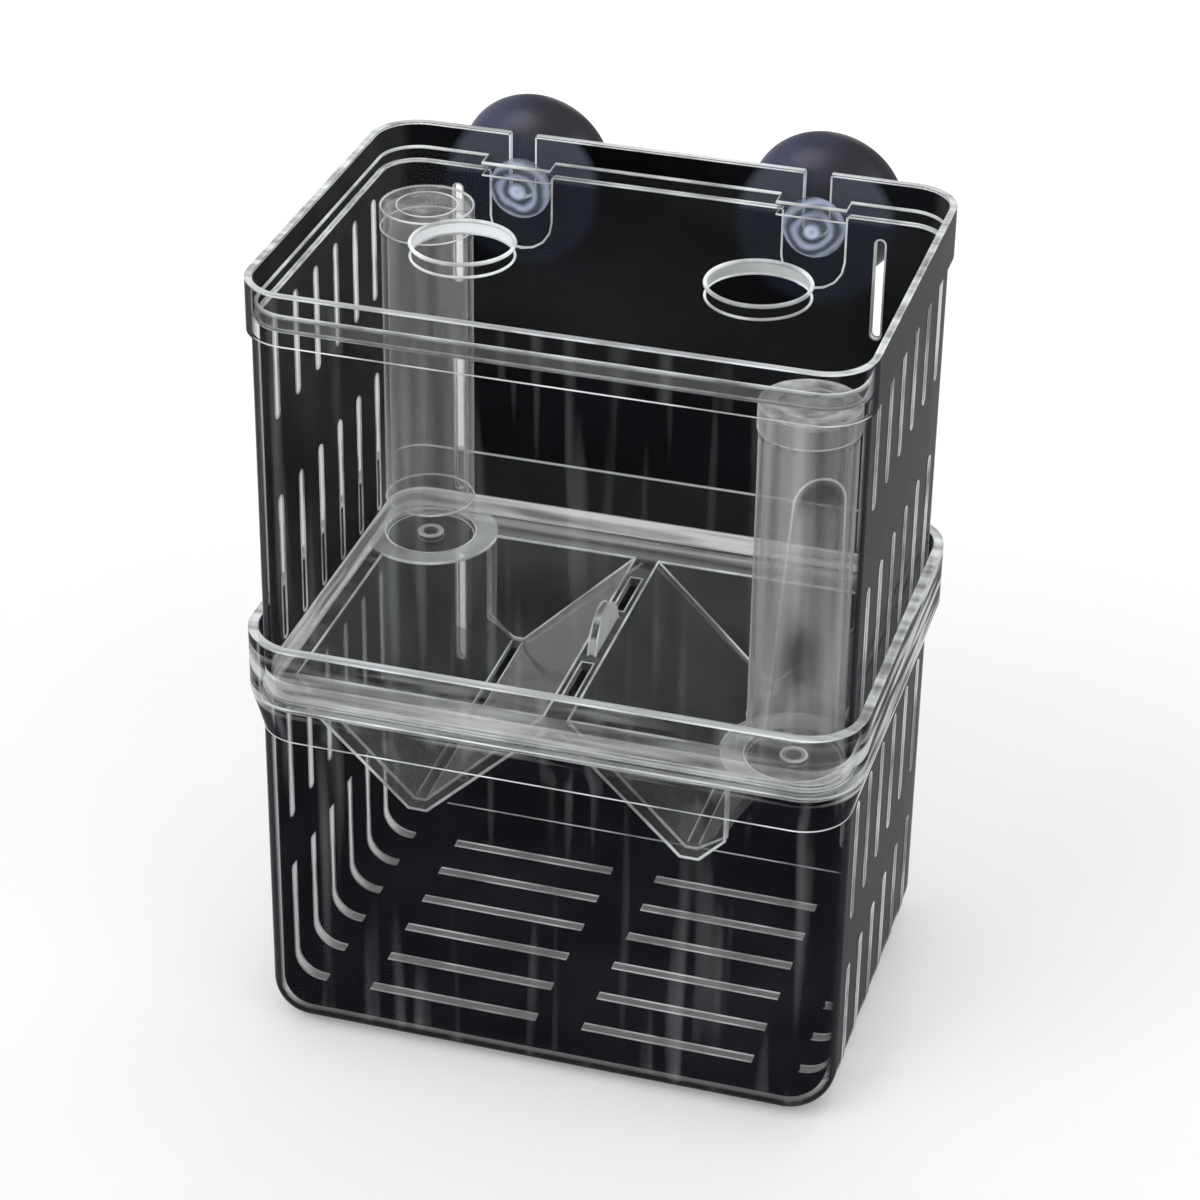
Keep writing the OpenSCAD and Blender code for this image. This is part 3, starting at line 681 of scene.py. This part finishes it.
class BREEDING_OT_edges(bpy.types.Operator):
    """Add thin beads with painted highlights that outline the edges of the boxes, slots, lid, tray and floats"""
    bl_idname = "breeding_box.edges"
    bl_label = "Edges"

    def execute(self, context):
        look = context.scene.breeding_box_shell
        bright = edge_highlight_material("edge light", look.edge, 0.55, 1.35)
        soft = edge_highlight_material("edge light soft", look.edge, 0.35, 1.0)
        self.sleeve(bright, soft)
        self.lower(bright, soft)
        self.tray(bright)
        self.lid_and_floats(bright)
        return {"FINISHED"}

    def sleeve(self, bright, soft):
        runs = []
        for r, z, thick in ((9.75, TOP - 0.25, 0.2), (8.75, TOP - 0.3, 0.24), (9.85, 156.7, 0.14)):
            runs += [(line, UP, thick, False) for line in parted(r, z, 2.9)]
        runs += [(line, UP, 0.16, False) for line in parted(7.5, 158.9, 6.6)]
        for x in (-CUP_X, CUP_X):
            for y, top, low, half, thick in ((41.0, 158.8, 149.0, 6.5, 0.22), (43.4, 156.3, 149.5, 7.0, 0.2),
                                             (42.1, TOP - 0.3, 156.0, 2.75, 0.2), (43.3, TOP - 0.3, 156.0, 2.75, 0.2)):
                runs.append((u_line(x, y, top, low, half), ALONG, thick, False))
        runs += [(rounded(8.85, FLANGE + 0.25), UP, 0.2, True), (rounded(7.6, FLANGE + 0.25), UP, 0.16, True)]
        bead_piece("edge_sleeve", "upper", bright, runs)
        runs = []
        for low, high in ((133.0, 155.0), (84.0, 116.0)):
            middle, half = (low + high) / 2, (high - low) / 2
            for x in (57.5, 59.0):
                runs.append((slots(both_sides(x, middle), UP, ALONG, half, 1.1), ACROSS, 0.19, True))
            for y in (41.0, 42.5):
                rear = [(-44.0, y, middle), (44.0, y, middle)]
                runs.append((slots(rear, UP, ACROSS, half, 1.1), ALONG, 0.19, True))
        bead_piece("edge_sleeve_slots", "upper", soft, runs)

    def lower(self, bright, soft):
        runs = [(rounded(11.75, 91.75), UP, 0.25, True), (rounded(10.25, 91.7), UP, 0.25, True),
                (rounded(11.8, FLANGE), UP, 0.2, True), (rounded(9.5, 70.0), UP, 0.14, True),
                (rounded(7.55, 77.0), UP, 0.14, True),
                (np.array([(-47.0, 39.4, 3.9), (47.0, 39.4, 3.9)]), UP, 0.16, False)]
        bead_piece("edge_lower", "lower", bright, runs)
        runs = [(slots(both_sides(x, 55.0), UP, ALONG, 13.5, 1.1), ACROSS, 0.19, True) for x in (57.5, 59.5)]
        for low, high in ((41.5, 68.5), (9.5, 29.5)):
            for y in (41.0, 43.0):
                rear = [(-44.0, y, (low + high) / 2), (44.0, y, (low + high) / 2)]
                runs.append((slots(rear, UP, ACROSS, (high - low) / 2, 1.1), ALONG, 0.19, True))
        t = np.linspace(0, math.pi / 2, 9)
        for r, wall in ((8.0, 59.5), (6.0, 57.5)):
            xz = np.vstack([[(wall, 29.4)], np.stack([51.5 + r * np.cos(t), 8.0 - r * np.sin(t)], -1),
                            [(50.8, 8.0 - r)]])
            xz[:, 1] = np.maximum(xz[:, 1], 0.2)
            places = [(s, y) for s in (-1, 1) for y in row_y()]
            lines = np.array([np.column_stack([s * xz[:, 0], np.full(len(xz), y + e), xz[:, 1]])
                              for s, y in places for e in (-1.1, 1.1)])
            ends = np.array([[(s * wall, y - 1.1, 29.4), (s * wall, y + 1.1, 29.4)] for s, y in places])
            runs += [(lines, ALONG, 0.19, False), (ends, UP, 0.19, False)]
        bead_piece("edge_lower_slots", "lower", soft, runs)
        runs = []
        for z in (0.22, 2.0):
            flat = [[(s * 5.0, y - 1.1, z), (s * 41.0, y - 1.1, z), (s * 41.0, y + 1.1, z), (s * 5.0, y + 1.1, z)]
                    for s in (-1, 1) for y in row_y()]
            runs.append((np.array(flat), UP, 0.2, True))
        bead_piece("edge_floor_slots", "lower", bright, runs)

    def tray(self, bright):
        runs = [(rounded(9.3, FLANGE - 0.1), UP, 0.2, True), (rounded(9.3, 77.1), UP, 0.14, True)]
        t = np.linspace(math.atan2(-1.9, -14.07), math.atan2(12.68, 6.4) - 2 * math.pi, 15)
        arc = np.stack([TUBE[0] + 14.2 * np.cos(t), TUBE[1] + 14.2 * np.sin(t)], -1)
        corner = np.vstack([[(2.5, -32.5), (33.03, -32.5)], arc, [(53.5, -17.92), (53.5, 32.5), (2.5, 32.5)]])
        for s in (-1, 1):
            runs.append((path3(s * corner, FLANGE), UP, 0.32, True))
            for y, x0, x1, z, low, w in ((32.5, 2.5, 53.5, FLANGE, 54.7, 1.2), (34.1, 1.5, 54.5, 77.0, 53.3, 1.9)):
                vee = [(x0, z), (28 - w, low), (28 + w, low), (x1, z)]
                cut = [(x0, z), (28 - w, low), (28 + w, low), (35.0, 58.6), (35.0, 75.8)]
                for front in (-1, 1):
                    shape = np.array(cut if front * s < 0 else vee, float)
                    runs.append((np.column_stack([s * shape[:, 0], np.full(len(shape), front * y), shape[:, 1]]),
                                 ALONG, 0.32, False))
            for e in (-1.2, 1.2):
                runs.append((np.array([(s * 28 + e, -30.9, 54.7), (s * 28 + e, 30.9, 54.7)]), UP, 0.2, False))
            y = s * 17.6
            runs.append((path3([(-1.3, y - 7), (1.3, y - 7), (1.3, y + 7), (-1.3, y + 7)], FLANGE), UP, 0.2, True))
            x, y = s * TUBE[0], s * TUBE[1]
            runs += [(ring(x, y, FLANGE, 9.6), UP, 0.16, True), (ring(x, y, FLANGE - 0.1, 2.5, 24), UP, 0.3, True),
                     (ring(x, y, FLANGE - 3.9, 1.8, 24), UP, 0.2, True)]
        tab = np.linspace(-8.0, 8.0, 13)
        crown = 77.93 + np.sqrt(8.07 ** 2 - tab ** 2)
        for x in (-0.8, 0.8):
            runs.append((np.column_stack([np.full(13, x), tab, crown]), ACROSS, 0.2, False))
        bead_piece("edge_tray", "tray", bright, runs)

    def lid_and_floats(self, bright):
        runs = []
        rear = [(37.6, 41.6), (37.6, 37.4), (23.4, 37.4), (23.4, 41.6), (-23.4, 41.6), (-23.4, 37.4), (-37.6, 37.4),
                (-37.6, 41.6)]
        for z, thick in ((161.85, 0.34), (159.2, 0.2)):
            line = rounded(8.1, z)
            runs.append((rounded(7.98, z)[22:], UP, thick + 0.12, False))
            runs.append((np.vstack([line[:11], path3(rear, z), line[11:]]), UP, thick, True))
            runs += [(ring(x, 0, z, 10.1), UP, thick + 0.08, True) for x in (-29.3, 29.3)]
        bead_piece("edge_lid", "lid", bright, runs)
        for side, s in (("front", 1), ("rear", -1)):
            x, y = s * TUBE[0], s * TUBE[1]
            runs = [(ring(x, y, z, r), UP, thick, True)
                    for z, r, thick in ((154.25, 9.4, 0.22), (149.7, 9.45, 0.16), (154.35, 6.2, 0.14),
                                        (87.6, 9.2, 0.24), (78.05, 9.1, 0.12))]
            bead_piece("edge_float_" + side, "float_" + side, bright, runs)


# ---------------------------------------------------------------- suction cups

def turned_mesh(name, profile, steps, centre):
    """Closed surface turned round the Y axis through centre.

    A point is centre + (r cos t, y, r sin t), where (r, y) runs along the profile and t along the circle.
    """
    r, y = np.array(profile, float).T
    t = np.linspace(0, 2 * math.pi, steps, endpoint=False)
    grid = np.stack([
        centre[0] + r[:, None] * np.cos(t), np.broadcast_to(y[:, None], (len(r), steps)),
        centre[2] + r[:, None] * np.sin(t)], axis=-1)
    rows, cols = len(r), steps
    i = np.arange(rows - 1)[:, None]
    j = np.arange(cols)[None, :]
    k = (j + 1) % cols
    faces = np.stack([i * cols + j, i * cols + k, (i + 1) * cols + k, (i + 1) * cols + j], axis=-1).reshape(-1, 4)
    mesh = bpy.data.meshes.new(name)
    mesh.from_pydata(grid.reshape(-1, 3).tolist(), [], faces.tolist())
    mesh.update()
    return mesh


def finish_mesh(name, mesh, body, material, smooth=True):
    """Object at the origin with merged doubles, outward normals, its material and body."""
    import bmesh
    work = bmesh.new()
    work.from_mesh(mesh)
    bmesh.ops.remove_doubles(work, verts=work.verts, dist=1e-6)
    bmesh.ops.recalc_face_normals(work, faces=work.faces)
    work.to_mesh(mesh)
    work.free()
    mesh.materials.append(material)
    if smooth:
        mesh.polygons.foreach_set("use_smooth", np.ones(len(mesh.polygons), bool))
    piece = bpy.data.objects.new(name, mesh)
    bpy.context.scene.collection.objects.link(piece)
    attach(piece, body)
    return piece


def smooth_profile(points, count):
    """Catmull-Rom curve through the points: p(t) blends four neighbours with cubic weights."""
    p = np.array(points, float)
    p = np.vstack([2 * p[0] - p[1], p, 2 * p[-1] - p[-2]])
    t = np.linspace(0, len(p) - 3 - 1e-9, count)
    i = t.astype(int)
    f = (t - i)[:, None]
    a, b, c, d = p[i], p[i + 1], p[i + 2], p[i + 3]
    return 0.5 * (2 * b + (c - a) * f + (2 * a - 5 * b + 4 * c - d) * f ** 2 + (3 * b - a - 3 * c + d) * f ** 3)


class BREEDING_OT_suction_cups(bpy.types.Operator):
    """Build the suction cups: soft navy domes behind the wall and pale heads in the pockets"""
    bl_idname = "breeding_box.suction_cups"
    bl_label = "Suction cups"

    def execute(self, context):
        look = context.scene.breeding_box_cup
        rubber, n, shader, coords = start_material("soft cup rubber")
        skin = use_group(n, moulded_group(), Position=coords.outputs["Object"], Scale=90.0, Roughness=0.3,
                         Scratches=0.2)
        x = split(n, coords.outputs["Object"])["X"]
        # painted highlight: the left side of each dome is painted lighter, where the key lamp lights it
        across = n.math("SUBTRACT", x, n.math("MULTIPLY", n.math("SIGN", x), CUP_X * MM))
        dome_highlight = n.math("MULTIPLY", n.ramp(across, 0.005, -0.009), n.ramp(skin.outputs["Cloud"], 0.3, 0.6))
        n.put(shader.inputs["Base Color"], n.mix(dome_highlight, rgba(look.rubber, 0.6), rgba(look.rubber, 6.0)))
        shader.inputs["Specular IOR Level"].default_value = 0.3
        n.put(shader.inputs["Roughness"], skin.outputs["Gloss"])
        rim = n.add("ShaderNodeLayerWeight", {"Blend": 0.3}).outputs["Facing"]
        n.put(shader.inputs["Alpha"], n.math("ADD", 0.9, n.math("MULTIPLY", rim, 0.1), clamp=True))
        bump(n, shader, skin.outputs["Height"], 0.25)
        pale, n, shader, coords = start_material("cup head")
        skin = use_group(n, moulded_group(), Position=coords.outputs["Object"], Scale=120.0, Roughness=0.2,
                         Scratches=0.2)
        x, y, z = (split(n, coords.outputs["Object"])[axis] for axis in "XYZ")
        off = n.add("ShaderNodeCombineXYZ", {0: n.math("SUBTRACT", n.math("ABSOLUTE", x), CUP_X * MM),
                                             2: n.math("SUBTRACT", z, 0.156)}).outputs[0]
        far = n.vec("LENGTH", off)
        wave = n.math("ADD", n.math("MULTIPLY", far, 2700.0), n.math("MULTIPLY", skin.outputs["Cloud"], 9.0))
        rings = n.ramp(n.math("SINE", wave), -1.0, 1.0)
        nub = n.ramp(far, 0.0016, 0.0010)
        tone = n.mix(rings, rgba(look.head, 0.4), rgba(look.head, 1.5))
        n.put(shader.inputs["Base Color"], n.mix(nub, tone, rgba(look.head, 2.2)))
        n.put(shader.inputs["Roughness"], skin.outputs["Gloss"])
        n.put(shader.inputs["Alpha"], front_side(n, n.blend(rings, 0.5, 0.82)))
        bump(n, shader, skin.outputs["Height"], 0.3)
        for side in ("left", "right"):
            node = "suction_cup_" + side
            low, high = span(node)
            middle = (low + high) / 2
            front, back, r = float(low[1]), float(high[1]), float(high[2] - low[2]) / 2
            head_r, neck_r = 0.40 * r, 0.15 * r
            inside, rear = front + 0.0038, back - 0.0080
            head = smooth_profile([
                (0.0, front), (0.0012, front + 0.00005), (0.0021, front + 0.0003), (0.0024, front + 0.0008),
                (0.0034, front + 0.0009), (0.0042, front + 0.0006), (0.0052, front + 0.0009),
                (head_r - 0.0004, front + 0.0016), (head_r, front + 0.0024), (head_r - 0.0003, front + 0.0034),
                (0.0046, inside), (neck_r, inside + 0.0001), (neck_r, rear + 0.0004), (0.0, rear + 0.0005)], 120)
            head[:, 0] = np.clip(head[:, 0], 0, None)
            piece = finish_mesh("cup_head_" + side, turned_mesh("cup_head", head, 72, middle), "cup_" + side, pale)
            s = np.linspace(0, 1, 48)
            dome_r = 0.0038 + (r - 0.0038) * np.sin(s * math.pi / 2) ** 0.9
            dome_y = rear + 0.0001 + (back - rear - 0.0001) * (1 - np.cos(s * math.pi / 2)) ** 0.85
            outer = np.stack([dome_r, dome_y], 1)
            inner = np.stack([dome_r - 0.0011 * (1 - s) ** 0.3, dome_y + 0.0012 * (1 - s) + 0.00005], 1)[::-1]
            inner[:, 1] = np.minimum(inner[:, 1], back)
            profile = np.vstack([[(0.0, rear)], outer, inner[1:], [(0.0, rear + 0.0028)]])
            dome = finish_mesh("cup_dome_" + side, turned_mesh("cup_dome", profile, 96, middle), "cup_" + side,
                               rubber)
            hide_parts(node)
            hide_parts(node)
        return {"FINISHED"}


# ---------------------------------------------------------------- stage

class BREEDING_OT_stage(bpy.types.Operator):
    """Add the pale floor, the soft lights and the camera"""
    bl_idname = "breeding_box.stage"
    bl_label = "Stage"

    def execute(self, context):
        look = context.scene.breeding_box_stage
        scene = context.scene
        scene.view_settings.view_transform = "Standard"
        scene.cycles.transparent_max_bounces = 32
        material, n, shader, coords = start_material("floor")
        shader.inputs["Base Color"].default_value = rgba(look.floor)
        shader.inputs["Roughness"].default_value = 0.7
        # far from the object the floor glows a little for the camera, so it meets the white behind it
        far = n.vec("LENGTH", coords.outputs["Object"])
        seen = n.add("ShaderNodeLightPath").outputs["Is Camera Ray"]
        shader.inputs["Emission Color"].default_value = (1, 1, 1, 1)
        n.put(shader.inputs["Emission Strength"], n.math("MULTIPLY", seen, n.ramp(far, 0.15, 0.8, 0.0, 0.32)))
        mesh = bpy.data.meshes.new("floor")
        size = 6.0
        mesh.from_pydata([(-size, -size, 0), (size, -size, 0), (size, size, 0), (-size, size, 0)], [], [(0, 1, 2, 3)])
        mesh.materials.append(material)
        floor = bpy.data.objects.new("floor", mesh)
        floor.location.z = -0.0002
        scene.collection.objects.link(floor)
        world = bpy.data.worlds.new("studio")
        world.use_nodes = True
        world.node_tree.nodes.clear()
        n = Nodes(world.node_tree)
        path = n.add("ShaderNodeLightPath")
        seen = n.math("MAXIMUM", path.outputs["Is Camera Ray"],
                      n.math("MAXIMUM", path.outputs["Is Glossy Ray"], path.outputs["Is Transmission Ray"]))
        light = n.add("ShaderNodeBackground", {"Color": (1, 1, 1, 1), "Strength": n.blend(seen, 0.78, 1.0)})
        n.add("ShaderNodeOutputWorld", {"Surface": light.outputs[0]})
        scene.world = world
        for name, place, size, power in (
                ("key", (-0.55, -0.75, 0.95), 0.7, 5.0), ("fill", (0.9, -0.5, 0.6), 0.6, 1.5),
                ("rear", (0.1, 0.9, 0.8), 0.6, 2.0)):
            lamp = bpy.data.lights.new(name, "AREA")
            lamp.energy, lamp.size = power, size
            piece = bpy.data.objects.new(name, lamp)
            piece.location = place
            piece.rotation_euler = (Vector((0, 0, 0.09)) - Vector(place)).to_track_quat("-Z", "Y").to_euler()
            scene.collection.objects.link(piece)
        camera = bpy.data.cameras.new("camera")
        camera.lens = look.focal
        camera.sensor_width = 36.0
        camera.shift_x, camera.shift_y = -0.00336, -0.0269
        eye = bpy.data.objects.new("camera", camera)
        az, el, far, target = math.radians(16.0), math.radians(30.01), 0.6959, np.array([0, 0, 0.095])
        back = np.array([math.sin(az) * math.cos(el), -math.cos(az) * math.cos(el), math.sin(el)])
        turn = Vector(-back).to_track_quat("-Z", "Y").to_matrix()
        roll = Matrix.Rotation(math.radians(0.93), 3, "Z")
        eye.matrix_world = Matrix.Translation(Vector(target + far * back)) @ (turn @ roll).to_4x4()
        scene.collection.objects.link(eye)
        scene.camera = eye
        return {"FINISHED"}


class BREEDING_PT_panel(bpy.types.Panel):
    """Sidebar list of the breeding box's pieces"""
    bl_idname = "BREEDING_PT_panel"
    bl_label = "Breeding Box"
    bl_space_type = "VIEW_3D"
    bl_region_type = "UI"
    bl_category = "Breeding Box"

    def draw(self, context):
        for operator in OPERATORS:
            self.layout.operator(operator.bl_idname)
        for holder, keys in (("breeding_box_shell", ("painted_dark", "depth", "veil", "clear", "edge", "tray")),
                             ("breeding_box_float", ("frost_and_glow",)), ("breeding_box_cup", ("rubber", "head")),
                             ("breeding_box_stage", ("floor", "focal"))):
            for key in keys:
                self.layout.prop(getattr(context.scene, holder), key)


GROUPS = (BreedingBoxShellSettings, BreedingBoxFloatSettings, BreedingBoxCupSettings, BreedingBoxStageSettings)
HOLDERS = ("breeding_box_shell", "breeding_box_float", "breeding_box_cup", "breeding_box_stage")
OPERATORS = (BREEDING_OT_boxes, BREEDING_OT_tray, BREEDING_OT_lid, BREEDING_OT_floats, BREEDING_OT_edges,
             BREEDING_OT_suction_cups, BREEDING_OT_stage)


def register():
    for cls in GROUPS + OPERATORS + (BREEDING_PT_panel,):
        bpy.utils.register_class(cls)
    for holder, group in zip(HOLDERS, GROUPS):
        setattr(bpy.types.Scene, holder, bpy.props.PointerProperty(type=group))


def unregister():
    for holder in HOLDERS:
        delattr(bpy.types.Scene, holder)
    for cls in reversed(GROUPS + OPERATORS + (BREEDING_PT_panel,)):
        bpy.utils.unregister_class(cls)


def main():
    register()
    for operator in OPERATORS:
        getattr(bpy.ops.breeding_box, operator.bl_idname.split(".")[1])()
    bpy.context.view_layer.update()


if __name__ == "__main__":
    main()
